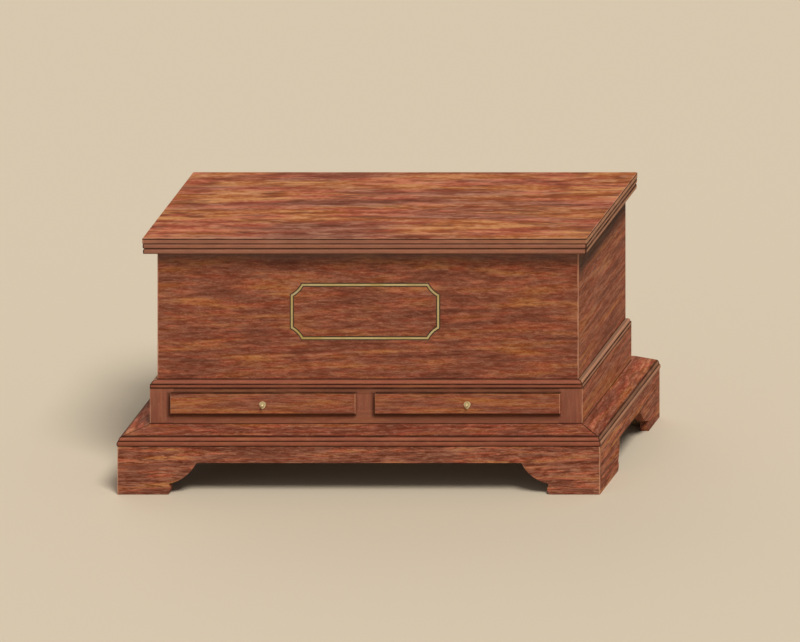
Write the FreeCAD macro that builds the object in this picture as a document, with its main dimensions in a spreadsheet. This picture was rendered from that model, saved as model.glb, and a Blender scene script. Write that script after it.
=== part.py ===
import FreeCAD, Part
import os
import re

import Sketcher

# A mule chest: a lidded chest on a stage of two shallow lipped drawers, standing on a wide
# moulded base with scrolled bracket feet. Millimetres, +Z up, +X to the right, front towards -Y,
# origin on the floor under the middle of the base.
doc = FreeCAD.newDocument("mule_chest")

# Driving sizes
SIZES = {
    # chest boards
    "case_width": 1150,  # chest above the waist, side to side
    "case_depth": 430,  # chest, front board to back board
    "chest_height": 399,  # floor board's top to the rim
    "board": 22,  # front, ends and back
    "corner_lap": 8,  # front board left over the ends' front edges
    "back_lap": 11,  # end board left over the back board's edges
    "floor_board": 16,
    "floor_groove": 8,  # how far the floor is let into the ends and the back
    # moulded base
    "base_reach": 70,  # base past the drawer stage, front and sides
    "base_back_reach": 32,  # base past the chest's back
    "base_height": 132,  # base boards, floor to ledge
    "base_board": 22,
    "base_step": 2,  # base boards behind the moulding's edge
    "ledge_width": 116,  # moulded frame, front and sides
    "ledge_back_width": 74,
    "nosing_height": 12,
    "nosing_swell": 1.5,
    "ledge_quirk": 2,
    "ovolo_reach": 10.5,
    "ovolo_height": 10,
    "ovolo_swell": 3,
    "ledge_fall": 10,  # slope of the ledge between chest and moulding
    # bracket feet
    "foot_clear": 86,  # floor to the apron's lower edge
    "toe_front": 138,  # length of a foot on the floor, along the front
    "toe_side_front": 166,  # along the side, at the front
    "toe_side_back": 98,
    "toe_back": 90,
    "back_foot_slope": 40,
    "scroll_reach": 77,  # toe to the apron's corner
    "scroll_swell": 10.5,
    "heel_reach": 5,
    "steep_reach": 15,  # the same on the side's steeper front foot
    "steep_swell": 3,
    "steep_heel": 3,
    "heel_height": 30,
    "quirk_reach": 2,
    "quirk_height": 26,
    "bead_swell": 5,
    "glue_block": 40,
    "block_lift": 3,  # glue blocks stop short of the floor
    # drawer stage
    "lower_height": 99,  # ledge to the chest's floor
    "facing": 16,  # drawer stage past the chest's front and ends
    "stile_width": 64.5,
    "rail_bottom": 37.5,
    "rail_cover": 1.5,  # top rail below the floor board
    "tenon_length": 18,
    "tenon_thick": 8,
    "tenon_shoulder": 4,
    "stub_tenon": 10,  # middle stile into the rails
    "runner_height": 18.5,
    "runner_reach": 8,  # runner past the drawer side's inner face
    "guide_height": 25,
    # waist moulding
    "waist_height": 16,
    "waist_bead": 8.5,
    "waist_quirk": 3,
    "waist_top": 6,  # flat left on top
    "waist_swell": 2.5,
    # inlaid panel line on the front
    "inlay_width": 411,
    "inlay_height": 157,
    "inlay_rise": 202,  # middle of the panel above the chest's floor
    "inlay_shift": 8,  # panel's middle left of the chest's middle
    "inlay_corner": 31,  # corner cut off, measured along each side
    "inlay_bow": 65,  # radius of the hollow corners
    "inlay_line": 5,
    "inlay_edge": 3.2,
    "inlay_depth": 2,
    # lid
    "lid_board": 16,
    "lid_overhang": 32,
    "lid_clear": 1.5,  # moulding outside the chest
    "lid_round": 2.5,
    "lid_under_round": 1.5,
    "lid_setback": 1.8,
    "lid_upper_band": 13,
    "lid_quirk": 2.5,
    "lid_lower_band": 13,
    "lid_step": 0.8,
    "lid_swell": 1.2,
    # strap hinges
    "hinge_inset": 195,  # hinge from the chest's end
    "hinge_gap": 0.5,  # knuckles behind the back board
    "knuckle_radius": 5,
    "knuckle_width": 40,
    "strap_knuckle": 16,
    "knuckle_gap": 0.3,
    "pin_radius": 2.4,
    "pin_clear": 0.05,
    "pin_head_radius": 3.6,
    "pin_head": 1.5,
    "strap_thick": 3,
    "strap_length": 300,
    "strap_root": 40,
    "strap_tip": 22,
    "strap_round": 9,  # rounded end past its corners
    "strap_setback": 2,
    "tongue_clear": 0.3,
    "strap_nail_front": 16,
    "strap_nail_back": 45,
    "leaf_thick": 3,
    "leaf_drop": 90,
    "leaf_nail_across": 12,
    "leaf_nail_first": 30,
    "leaf_nail_step": 40,
    "nail_radius": 1.7,
    "nail_head_radius": 5,
    "nail_crown_radius": 2.5,
    "nail_head": 1.6,
    "nail_length": 10,  # in the wood
    # drawers
    "drawer_clear": 0.3,
    "drawer_front": 22,
    "lip": 6,  # drawer front past its opening
    "lip_thick": 10.5,
    "lip_gap": 0.3,
    "lip_round": 3,
    "drawer_side": 12,
    "drawer_bottom": 6,
    "bottom_rise": 4,
    "bottom_groove": 5,
    "drawer_back_gap": 12,
    "tail_length": 10,
    "tail_root": 5,  # half a dovetail where it leaves the side
    "tail_flare": 2,
    # drawer pulls
    "pull_drop": 3,  # pull below the middle of the drawer front
    "plate_thick": 1.5,
    "plate_width": 18.5,
    "plate_shoulder": 2,
    "plate_point": 11.5,
    "plate_crown": 7.5,
    "plate_swell": 2,
    "knob_reach": 10,
    "knob_radius": 4.5,
    "knob_dome": 3.2,
    "knob_swell": 0.9,
    "knob_neck": 2.6,
    "collar_radius": 3.8,
    "collar_height": 1,
    "stem_radius": 2.2,
    "stem_clear": 0.2,
    "washer_radius": 6.5,
    "washer_thick": 1.5,
    "stem_end": 1.5,
}

# Counts
NAILS_IN_STRAP = 4
NAIL_ROWS_IN_LEAF = 2
TAILS = 2  # dovetails at each end of a drawer side

# Planes and lengths worked out from the driving sizes
LAYOUT = {
    "x_case": "case_width / 2",
    "x_chest_in": "x_case - board",
    "x_lower": "x_case + facing",
    "x_base": "x_lower + base_reach",
    "x_foot": "x_base - base_step",
    "x_foot_in": "x_foot - base_board",
    "x_lid": "x_case + lid_overhang",
    "x_hinge": "x_case - hinge_inset",
    "x_open_in": "stile_width / 2",
    "x_open_out": "x_lower - stile_width",
    "x_drawer": "(x_open_in + x_open_out) / 2",
    "y_base_back": "(base_reach + facing + case_depth + base_back_reach) / 2",
    "y_base_front": "-y_base_back",
    "y_foot_front": "y_base_front + base_step",
    "y_foot_back": "y_base_back - base_step",
    "y_lower_front": "y_base_front + base_reach",
    "y_case_front": "y_lower_front + facing",
    "y_end_front": "y_case_front + corner_lap",
    "y_chest_in": "y_case_front + board",
    "y_case_back": "y_case_front + case_depth",
    "y_back_in": "y_case_back - board",
    "y_tenon": "(y_lower_front + y_end_front) / 2",
    "y_lid_front": "y_case_front - lid_overhang",
    "y_hinge": "y_case_back + hinge_gap + knuckle_radius",
    "z_ledge": "base_height + nosing_height + ledge_quirk + ovolo_height + ledge_fall",
    "z_lower_top": "z_ledge + lower_height",
    "z_floor": "z_lower_top - floor_board",
    "z_rim": "z_lower_top + chest_height",
    "z_lid": "z_rim + lid_board",
    "z_hinge": "z_rim + strap_thick - knuckle_radius",
    "z_open_low": "z_ledge + rail_bottom",
    "z_open_high": "z_floor - rail_cover",
    "z_inlay": "z_lower_top + inlay_rise",
    "inlay_out": "(sqrt(2 * inlay_bow ^ 2 - inlay_corner ^ 2) - inlay_corner) / 2",
    "inlay_total": "inlay_line + 2 * inlay_edge",
    "lid_drop": "lid_upper_band + lid_quirk + lid_lower_band",
    "lid_inner": "lid_overhang - lid_clear",
    "y_strap_root": "y_case_back - strap_setback",
    "y_strap_tip": "y_strap_root - strap_length",
    "strap_nail_step": f"(strap_length - strap_nail_front - strap_nail_back) / {NAILS_IN_STRAP - 1}",
    "drawer_half": "x_drawer - x_open_in - drawer_clear",
    "z_drawer_low": "z_open_low + drawer_clear",
    "z_drawer_high": "z_open_high - drawer_clear",
    "z_bottom": "z_drawer_low + bottom_rise",
    "y_front_face": "y_lower_front - lip_gap - lip_thick",
    "y_front_back": "y_front_face + drawer_front",
    "y_drawer_back": "y_back_in - drawer_back_gap",
    "z_pull": "(z_open_low + z_open_high) / 2 - pull_drop",
}
WORD = re.compile(r"[a-z][a-z0-9_]*")


def bound(rule, own_sheet=False):
    """The rule with each named value written as the cell that holds it."""
    def cell(word):
        name = word.group()
        if name in SIZES:
            return f"Sizes.{name}"
        if name in LAYOUT and not own_sheet:
            return f"Layout.{name}"
        return name
    return WORD.sub(cell, rule)


sizes = doc.addObject("Spreadsheet::Sheet", "Sizes")
for row, (alias, value) in enumerate(SIZES.items(), start=1):
    sizes.set(f"A{row}", alias)
    sizes.set(f"B{row}", str(value))
    sizes.setAlias(f"B{row}", alias)
layout = doc.addObject("Spreadsheet::Sheet", "Layout")
for row, (alias, rule) in enumerate(LAYOUT.items(), start=1):
    layout.set(f"A{row}", alias)
    layout.set(f"B{row}", "=" + bound(rule, own_sheet=True))
    layout.setAlias(f"B{row}", alias)
doc.recompute()


def amount(rule):
    """The rule's value in millimetres."""
    return float(sizes.evalExpression(bound(rule)))


def along(side, near, far):
    """The stretch from near to far on the right (1) or mirrored to the left (-1), low end first."""
    if side > 0:
        return near, far
    return f"-({far})", f"-({near})"


pieces = []


def keep(piece):
    """Count a finished piece among the parts of the chest."""
    pieces.append(piece)
    return piece


def block(label, x, y, z):
    """A square-edged board between three pairs of planes."""
    piece = doc.addObject("Part::Box", label)
    for size, axis, (low, high) in zip(("Length", "Width", "Height"), "xyz", (x, y, z)):
        piece.setExpression(size, bound(f"({high}) - ({low})"))
        piece.setExpression(f"Placement.Base.{axis}", bound(low))
    return piece


TURNS = {
    "x": FreeCAD.Rotation(FreeCAD.Vector(0, 1, 0), 90),
    "y": FreeCAD.Rotation(FreeCAD.Vector(1, 0, 0), -90),
    "z": FreeCAD.Rotation(),
}


def rod(label, axis, start, length, radius, end_radius=None):
    """A round rod from its start point along an axis, tapered if its far end has its own radius."""
    kind = "Part::Cylinder" if end_radius is None else "Part::Cone"
    piece = doc.addObject(kind, label)
    piece.Placement.Rotation = TURNS[axis]
    for name, rule in zip("xyz", start):
        piece.setExpression(f"Placement.Base.{name}", bound(rule))
    piece.setExpression("Height", bound(length))
    if end_radius is None:
        piece.setExpression("Radius", bound(radius))
    else:
        piece.setExpression("Radius1", bound(radius))
        piece.setExpression("Radius2", bound(end_radius))
    return piece


def group(label, members):
    """Separate solids held together under one name."""
    piece = doc.addObject("Part::Compound", label)
    piece.Links = members
    return piece


def joined(label, members):
    """One solid made of overlapping shapes."""
    piece = doc.addObject("Part::MultiFuse", label)
    piece.Shapes = members
    piece.Refine = True
    return piece


def housed(label, blank, others):
    """A blank cut to receive the pieces that are let into it or stand in its way."""
    piece = doc.addObject("Part::Cut", label)
    piece.Base = blank
    piece.Tool = others[0] if len(others) == 1 else group(f"{label}_housings", others)
    return piece


def hold(sketch, kind, where, rule):
    """One distance or radius in a sketch, tied to its rule."""
    number = sketch.addConstraint(Sketcher.Constraint(kind, *where, amount(rule)))
    sketch.setExpression(f"Constraints[{number}]", bound(rule))


def trace(sketch, corners):
    """A closed outline. A corner is (across, up), or (across, up, swell) where the edge that follows
    is an arc bowed by the swell to the left of the way round, or to the right if it is negative."""
    places = [FreeCAD.Vector(amount(corner[0]), amount(corner[1]), 0) for corner in corners]
    edges = []
    for number, corner in enumerate(corners):
        start = places[number]
        finish = places[(number + 1) % len(places)]
        if len(corner) == 2:
            edges.append((sketch.addGeometry(Part.LineSegment(start, finish)), 1, 2))
            continue
        swell = amount(corner[2])
        run = finish - start
        middle = (start + finish) / 2 + FreeCAD.Vector(-run.y, run.x, 0).normalize() * swell
        if swell < 0:
            edges.append((sketch.addGeometry(Part.Arc(start, middle, finish)), 1, 2))
        else:
            edges.append((sketch.addGeometry(Part.Arc(finish, middle, start)), 2, 1))
    for number, corner in enumerate(corners):
        edge, start, finish = edges[number]
        after = (number + 1) % len(edges)
        meeting = Sketcher.Constraint("Coincident", edge, finish, edges[after][0], edges[after][1])
        sketch.addConstraint(meeting)
        hold(sketch, "DistanceX", (-1, 1, edge, start), corner[0])
        hold(sketch, "DistanceY", (-1, 1, edge, start), corner[1])
        if len(corner) == 3:
            across = f"(({corners[after][0]}) - ({corner[0]})) ^ 2"
            up = f"(({corners[after][1]}) - ({corner[1]})) ^ 2"
            swell = f"abs({corner[2]})"
            hold(sketch, "Radius", (edge,), f"({across} + {up}) / (8 * {swell}) + {swell} / 2")


def drawn(body, label, plane, outlines, offset="0"):
    """A sketch of closed outlines on one of the body's own planes, or at an offset from it."""
    sketch = body.newObject("Sketcher::SketchObject", label)
    origin = [face for face in body.Origin.OriginFeatures if face.Role == f"{plane}_Plane"][0]
    sketch.AttachmentSupport = [(origin, "")]
    sketch.MapMode = "FlatFace"
    sketch.setExpression("AttachmentOffset.Base.z", bound(offset))
    for corners in outlines:
        trace(sketch, corners)
    return sketch


def padded(body, plane, outline, low, high):
    """Thicken an outline between two planes; the XZ plane faces -Y, so it starts from its far side."""
    label = f"{body.Name}_{len(body.Group)}"
    start = f"-({high})" if plane == "XZ" else low
    pad = body.newObject("PartDesign::Pad", f"{label}_pad")
    pad.Profile = drawn(body, f"{label}_outline", plane, [outline], start)
    pad.setExpression("Length", bound(f"({high}) - ({low})"))
    doc.recompute()


def shaped(label, plane, outline, low, high):
    """A body whose outline in one plane is the same all along the third direction."""
    body = doc.addObject("PartDesign::Body", label)
    padded(body, plane, outline, low, high)
    return body


def trimmed(body, plane, outlines):
    """Cut the outlines right through the body."""
    before = body.Shape.Volume
    pocket = body.newObject("PartDesign::Pocket", f"{body.Name}_trim")
    pocket.Profile = drawn(body, f"{body.Name}_trim_outline", plane, outlines)
    pocket.Type = "ThroughAll"
    pocket.SideType = "Symmetric"
    doc.recompute()
    if not body.Shape.Volume < before:
        raise RuntimeError(f"the trim of {body.Label} cuts nothing")
    return body


def rounded(body, radius, chosen):
    """Round the edges whose middle is chosen by the test."""
    names = [f"Edge{number}" for number, edge in enumerate(body.Shape.Edges, start=1)
             if chosen(edge.CenterOfMass)]
    base = body.Tip
    fillet = body.newObject("PartDesign::Fillet", f"{base.Name}_round")
    fillet.Base = (base, names)
    fillet.setExpression("Radius", bound(radius))
    doc.recompute()


def section(profile, edge, inward, level):
    """A moulding's profile, given as (inset, height) from its outer edge and lower level, turned so
    that insets run inward along the drawing's horizontal axis."""
    corners = []
    for inset, height, *swell in profile:
        place = (f"{edge} + {inward} * ({inset})", f"{level} + {height}")
        corners.append(place + tuple(f"{inward} * ({bow})" for bow in swell))
    return corners


def mitred_front(label, profile, x_edge, y_edge, width, level):
    """A front moulding with both ends cut at 45 degrees."""
    piece = shaped(label, "YZ", section(profile, y_edge, 1, level), f"-{x_edge}", x_edge)
    corners = []
    for side in (-1, 1):
        corners.append([(f"{side} * {x_edge}", y_edge),
                        (f"{side} * {x_edge}", f"{y_edge} + {width}"),
                        (f"{side} * ({x_edge} - {width})", f"{y_edge} + {width}")])
    return trimmed(piece, "XY", corners)


def mitred_side(label, profile, side, x_edge, y_edge, width, level, y_end):
    """A side moulding cut at 45 degrees where it meets the front one, square at the back."""
    outline = section(profile, f"{side} * {x_edge}", -side, level)
    piece = shaped(label, "XZ", outline, y_edge, y_end)
    corner = [(f"{side} * {x_edge}", y_edge),
              (f"{side} * ({x_edge} - {width})", y_edge),
              (f"{side} * ({x_edge} - {width})", f"{y_edge} + {width}")]
    return trimmed(piece, "XY", [corner])


SIDES = {"left": -1, "right": 1}

# Base boards. Bracket feet are sawn out of the same boards as the apron; the front corners are
# mitred, and the plain back board stands between the ends of the side boards.


def bracket(low, low_foot, high, high_foot):
    """A board's elevation with a scrolled foot at each end, given as its toe, heel, reach and swell."""
    toe, heel, reach, swell = high_foot
    far_foot = [(f"{high} - {toe}", "0", "bead_swell"),
                (f"{high} - ({toe} + quirk_reach)", "quirk_height"),
                (f"{high} - ({toe} + {heel})", "heel_height", swell),
                (f"{high} - ({toe} + {reach})", "foot_clear")]
    toe, heel, reach, swell = low_foot
    near_foot = [(f"{low} + {toe} + {reach}", "foot_clear", swell),
                 (f"{low} + {toe} + {heel}", "heel_height"),
                 (f"{low} + {toe} + quirk_reach", "quirk_height", "bead_swell"),
                 (f"{low} + {toe}", "0")]
    return [(high, "base_height"), (high, "0")] + far_foot + near_foot + [(low, "0"), (low, "base_height")]


front_foot = ("toe_front", "heel_reach", "scroll_reach", "scroll_swell")
side_front_foot = ("toe_side_front", "steep_heel", "steep_reach", "steep_swell")
side_back_foot = ("toe_side_back", "heel_reach", "scroll_reach", "scroll_swell")
front_elevation = bracket("-x_foot", front_foot, "x_foot", front_foot)
base_front = shaped("base_front_board", "XZ", front_elevation, "y_foot_front", "y_foot_front + base_board")
front_mitres = [[(f"{side} * x_foot", "y_foot_front"),
                 (f"{side} * x_foot", "y_foot_front + base_board"),
                 (f"{side} * x_foot_in", "y_foot_front + base_board")] for side in SIDES.values()]
keep(trimmed(base_front, "XY", front_mitres))
for name, side in SIDES.items():
    side_elevation = bracket("y_foot_front", side_front_foot, "y_foot_back", side_back_foot)
    base_side = shaped(f"base_{name}_board", "YZ", side_elevation, *along(side, "x_foot_in", "x_foot"))
    side_mitre = [(f"{side} * x_foot", "y_foot_front"),
                  (f"{side} * x_foot_in", "y_foot_front"),
                  (f"{side} * x_foot_in", "y_foot_front + base_board")]
    keep(trimmed(base_side, "XY", [side_mitre]))
back_elevation = [("x_foot_in", "base_height"), ("x_foot_in", "0"), ("x_foot_in - toe_back", "0"),
                  ("x_foot_in - toe_back - back_foot_slope", "foot_clear"),
                  ("-x_foot_in + toe_back + back_foot_slope", "foot_clear"),
                  ("-x_foot_in + toe_back", "0"), ("-x_foot_in", "0"), ("-x_foot_in", "base_height")]
keep(shaped("base_back_board", "XZ", back_elevation, "y_foot_back - base_board", "y_foot_back"))

glue_blocks = []
for name, side in SIDES.items():
    for end, y_low in (("front", "y_foot_front + base_board"),
                       ("back", "y_foot_back - base_board - glue_block")):
        glue_blocks.append(block(f"glue_block_{end}_{name}",
                                 along(side, "x_foot_in - glue_block", "x_foot_in"),
                                 (y_low, f"{y_low} + glue_block"), ("block_lift", "base_height")))
keep(group("foot_glue_blocks", glue_blocks))

# Moulded ledge. A mitred frame lies on the base boards: a nosing and an ovolo round its edge, and a
# top that slopes up to the drawer stage. Its back member is a plain board.
ledge_top = "z_ledge - base_height"
ovolo_low = "nosing_height + ledge_quirk"
quirk_in = "nosing_swell + ledge_quirk"
LEDGE = [("nosing_swell", "0", "nosing_swell"),
         ("nosing_swell", "nosing_height"),
         (quirk_in, "nosing_height"),
         (quirk_in, ovolo_low, "ovolo_swell"),
         (f"{quirk_in} + ovolo_reach", f"{ovolo_low} + ovolo_height"),
         ("base_reach", ledge_top), ("ledge_width", ledge_top), ("ledge_width", "0")]
keep(mitred_front("base_ledge_front", LEDGE, "x_base", "y_base_front", "ledge_width", "base_height"))
for name, side in SIDES.items():
    keep(mitred_side(f"base_ledge_{name}", LEDGE, side, "x_base", "y_base_front", "ledge_width",
                     "base_height", "y_base_back"))
keep(block("base_ledge_back", ("-(x_base - ledge_width)", "x_base - ledge_width"),
           ("y_base_back - ledge_back_width", "y_base_back"), ("base_height", "z_ledge")))

# Drawer stage. A mortised frame of two rails and three stiles fronts it, thick facings widen the
# chest's end boards, and runners with guides carry the drawers from the rails to the back board.
frame_deep = ("y_lower_front", "y_end_front")
tenon_deep = ("y_tenon - tenon_thick / 2", "y_tenon + tenon_thick / 2")
stile_middle = joined("stile_centre", [
    block("stile_centre_face", ("-x_open_in", "x_open_in"), frame_deep, ("z_open_low", "z_open_high")),
    block("stile_centre_tenons", ("-x_open_in + tenon_shoulder", "x_open_in - tenon_shoulder"), tenon_deep,
          ("z_open_low - stub_tenon", "z_open_high + stub_tenon"))])
keep(stile_middle)
rails = []
for name, low, high in (("rail_top", "z_open_high", "z_lower_top"), ("rail_bottom", "z_ledge", "z_open_low")):
    blank = joined(f"{name}_blank", [
        block(f"{name}_face", ("-x_open_out", "x_open_out"), frame_deep, (low, high)),
        block(f"{name}_tenons", ("-x_open_out - tenon_length", "x_open_out + tenon_length"), tenon_deep,
              (f"{low} + tenon_shoulder", f"{high} - tenon_shoulder"))])
    rails.append(keep(housed(name, blank, [stile_middle])))
runner_high = ("z_open_low - runner_height", "z_open_low")
guide_high = ("z_open_low", "z_open_low + guide_height")
runner_deep = ("y_end_front", "y_back_in")
runner_in = "drawer_clear + drawer_side + runner_reach"
for name, side in SIDES.items():
    stile_plan = [(f"{side} * x_open_out", "y_lower_front"), (f"{side} * x_lower", "y_lower_front"),
                  (f"{side} * x_case", "y_case_front"), (f"{side} * x_case", "y_end_front"),
                  (f"{side} * x_open_out", "y_end_front")]
    stile = shaped(f"stile_{name}_blank", "XY", stile_plan, "z_ledge", "z_lower_top")
    keep(housed(f"stile_{name}", stile, rails))
    facing_plan = [(f"{side} * x_case", "y_case_front"), (f"{side} * x_lower", "y_lower_front"),
                   (f"{side} * x_lower", "y_case_back"), (f"{side} * x_case", "y_case_back")]
    keep(shaped(f"lower_facing_{name}", "XY", facing_plan, "z_ledge", "z_lower_top"))
    keep(block(f"drawer_runner_{name}", along(side, f"x_open_out - ({runner_in})", "x_chest_in"),
               runner_deep, runner_high))
    keep(block(f"drawer_guide_{name}", along(side, "x_open_out", "x_chest_in"), runner_deep, guide_high))
keep(block("drawer_runner_centre", (f"-x_open_in - ({runner_in})", f"x_open_in + {runner_in}"),
           runner_deep, runner_high))
keep(block("drawer_guide_centre", ("-x_open_in", "x_open_in"), runner_deep, guide_high))

# Waist moulding. Three mitred strips on top of the drawer stage cover its joint with the chest.
WAIST = [("0", "0"), ("0", "waist_bead"),
         ("waist_quirk", "waist_bead", "waist_swell"),
         ("facing - waist_top", "waist_height"), ("facing", "waist_height"), ("facing", "0")]
keep(mitred_front("waist_moulding_front", WAIST, "x_lower", "y_lower_front", "facing", "z_lower_top"))
for name, side in SIDES.items():
    keep(mitred_side(f"waist_moulding_{name}", WAIST, side, "x_lower", "y_lower_front", "facing",
                     "z_lower_top", "y_case_back"))

# Chest. The end boards run down to the ledge; the floor is let into them and the back, the back
# stands in their rabbets, and the front board laps their front edges.
floor = keep(block("chest_floor", ("-x_chest_in - floor_groove", "x_chest_in + floor_groove"),
                   ("y_end_front", "y_back_in + floor_groove"), ("z_floor", "z_lower_top")))
back_half = "x_case - back_lap"
back_blank = block("chest_back_blank", (f"-({back_half})", back_half), ("y_back_in", "y_case_back"),
                   ("z_ledge", "z_rim"))
ends = []
for name, side in SIDES.items():
    end_blank = block(f"chest_end_{name}_blank", along(side, "x_chest_in", "x_case"),
                      ("y_end_front", "y_case_back"), ("z_ledge", "z_rim"))
    ends.append(keep(housed(f"chest_end_{name}", end_blank, [floor, back_blank])))

# Inlaid panel. A pale line between two dark edgings is let into the front board round an empty
# panel with hollow corners.


def panel(label, inset):
    """The area inside the panel's outline drawn in by the inset, as deep as the inlay."""
    wide = f"inlay_width / 2 - ({inset})"
    high = f"inlay_height / 2 - ({inset})"
    deep = ("y_case_front", "y_case_front + inlay_depth")
    area = block(f"{label}_area", (f"-inlay_shift - ({wide})", f"-inlay_shift + {wide}"), deep,
                 (f"z_inlay - ({high})", f"z_inlay + {high}"))
    hollows = []
    for across in (-1, 1):
        for up in (-1, 1):
            hollow = (f"-inlay_shift + {across} * (inlay_width / 2 + inlay_out)", "y_case_front",
                      f"z_inlay + {up} * (inlay_height / 2 + inlay_out)")
            hollows.append(rod(f"{label}_hollow_{len(hollows)}", "y", hollow, "inlay_depth",
                               f"inlay_bow + {inset}"))
    return housed(label, area, hollows)


outlines = [panel(f"panel_{number}", inset) for number, inset in enumerate(
    ("0", "inlay_edge", "inlay_edge + inlay_line", "inlay_total"))]
pale_line = keep(housed("inlay_line", outlines[1], [outlines[2]]))
dark_edging = keep(group("inlay_edging", [housed("inlay_edging_outer", outlines[0], [outlines[1]]),
                                          housed("inlay_edging_inner", outlines[2], [outlines[3]])]))
front_blank = block("chest_front_blank", ("-x_case", "x_case"), ("y_case_front", "y_chest_in"),
                    ("z_lower_top", "z_rim"))
keep(housed("chest_front", front_blank, ends + [pale_line, dark_edging]))

# Lid hinges. Wrought straps are let into the lid's underside and run to the middle knuckle; a leaf
# nailed to the back board carries the outer knuckles and the pin.
strap_blanks = []
strap_nails = []
leaves = []
leaf_nails = []
pins = []
bores = []
strap_high = ("z_rim", "z_rim + strap_thick")
tongue = "strap_knuckle / 2 - tongue_clear"
middle_gap = "strap_knuckle / 2 + knuckle_gap"
for name, side in SIDES.items():
    x_mid = f"{side} * x_hinge"
    strap_plan = [(f"{x_mid} + {tongue}", "y_hinge"), (f"{x_mid} - ({tongue})", "y_hinge"),
                  (f"{x_mid} - ({tongue})", "y_strap_root"),
                  (f"{x_mid} - strap_root / 2", "y_strap_root"),
                  (f"{x_mid} - strap_tip / 2", "y_strap_tip + strap_round", "-strap_round"),
                  (f"{x_mid} + strap_tip / 2", "y_strap_tip + strap_round"),
                  (f"{x_mid} + strap_root / 2", "y_strap_root"),
                  (f"{x_mid} + {tongue}", "y_strap_root")]
    strap_blanks.append(shaped(f"strap_{name}_blank", "XY", strap_plan, *strap_high))
    for count in range(NAILS_IN_STRAP):
        y_nail = f"y_strap_tip + strap_nail_front + {count} * strap_nail_step"
        strap_nails.append(joined(f"strap_nail_{name}_{count}", [
            rod(f"strap_nail_shank_{name}_{count}", "z", (x_mid, y_nail, "z_rim"),
                "strap_thick + nail_length", "nail_radius"),
            rod(f"strap_nail_head_{name}_{count}", "z", (x_mid, y_nail, "z_rim - nail_head"),
                "nail_head", "nail_crown_radius", "nail_head_radius")]))
    for across in (-1, 1):
        for row in range(NAIL_ROWS_IN_LEAF):
            place = (f"{x_mid} + {across} * leaf_nail_across",
                     f"z_hinge - leaf_nail_first - {row} * leaf_nail_step")
            mark = f"{name}_{len(leaf_nails)}"
            leaf_nails.append(joined(f"leaf_nail_{mark}", [
                rod(f"leaf_nail_shank_{mark}", "y", (place[0], "y_case_back - nail_length", place[1]),
                    "nail_length + leaf_thick", "nail_radius"),
                rod(f"leaf_nail_head_{mark}", "y", (place[0], "y_case_back + leaf_thick", place[1]),
                    "nail_head", "nail_head_radius", "nail_crown_radius")]))
    pin_low = f"{x_mid} - knuckle_width / 2"
    pins.append(joined(f"hinge_pin_{name}", [
        rod(f"pin_shaft_{name}", "x", (pin_low, "y_hinge", "z_hinge"), "knuckle_width", "pin_radius"),
        rod(f"pin_head_low_{name}", "x", (f"{pin_low} - pin_head", "y_hinge", "z_hinge"), "pin_head",
            "pin_head_radius"),
        rod(f"pin_head_high_{name}", "x", (f"{pin_low} + knuckle_width", "y_hinge", "z_hinge"), "pin_head",
            "pin_head_radius")]))
    bores.append(rod(f"strap_bore_{name}", "x", (pin_low, "y_hinge", "z_hinge"), "knuckle_width",
                     "pin_radius + pin_clear"))
    leaf_blank = joined(f"hinge_leaf_{name}_blank", [
        block(f"leaf_plate_{name}", (pin_low, f"{pin_low} + knuckle_width"),
              ("y_case_back", "y_case_back + leaf_thick"), ("z_hinge - leaf_drop", "z_hinge")),
        rod(f"leaf_barrel_{name}", "x", (pin_low, "y_hinge", "z_hinge"), "knuckle_width", "knuckle_radius")])
    leaf_notch = block(f"leaf_notch_{name}", (f"{x_mid} - ({middle_gap})", f"{x_mid} + {middle_gap}"),
                       ("y_case_back", "y_hinge + 2 * knuckle_radius"),
                       ("z_hinge - knuckle_radius - hinge_gap", "z_hinge + 2 * knuckle_radius"))
    leaves.append((name, leaf_blank, leaf_notch))

pin_group = keep(group("hinge_pins", pins))
strap_nail_group = keep(group("hinge_strap_nails", strap_nails))
leaf_nail_group = keep(group("hinge_leaf_nails", leaf_nails))
for (name, leaf_blank, leaf_notch), strap_blank, bore in zip(leaves, strap_blanks, bores):
    keep(housed(f"hinge_leaf_{name}", leaf_blank, [leaf_notch, pin_group, leaf_nail_group]))
    x_mid = f"{SIDES[name]} * x_hinge"
    knuckle = rod(f"strap_knuckle_{name}", "x", (f"{x_mid} - strap_knuckle / 2", "y_hinge", "z_hinge"),
                  "strap_knuckle", "knuckle_radius")
    strap_whole = joined(f"hinge_strap_{name}_blank", [strap_blank, knuckle])
    keep(housed(f"hinge_strap_{name}", strap_whole, [bore, strap_nail_group]))
keep(housed("chest_back", back_blank, [floor, leaf_nail_group]))

# Lid. One wide board with a rounded edge, stiffened by mouldings glued under its front and ends,
# which hang down outside the chest.
lid_plan = [("-x_lid", "y_lid_front"), ("x_lid", "y_lid_front"), ("x_lid", "y_case_back"),
            ("-x_lid", "y_case_back")]
lid_blank = shaped("lid_blank", "XY", lid_plan, "z_rim", "z_lid")
TOUCH = 0.01
for radius, level in (("lid_round", amount("z_lid")), ("lid_under_round", amount("z_rim"))):
    rounded(lid_blank, radius, lambda middle: abs(middle.z - level) < TOUCH
            and middle.y < amount("y_case_back") - TOUCH)
keep(housed("lid_board", lid_blank, strap_blanks + [strap_nail_group]))
band_edge = "lid_setback + lid_step"
quirk_edge = f"{band_edge} + lid_quirk"
upper_low = "lid_lower_band + lid_quirk"
LID = [(band_edge, "0", "lid_swell"), (band_edge, "lid_lower_band"),
       (quirk_edge, "lid_lower_band"), (quirk_edge, upper_low),
       ("lid_setback", upper_low, "lid_swell"), ("lid_setback", "lid_drop"),
       ("lid_inner", "lid_drop"), ("lid_inner", "0")]
keep(mitred_front("lid_moulding_front", LID, "x_lid", "y_lid_front", "lid_inner", "z_rim - lid_drop"))
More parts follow.
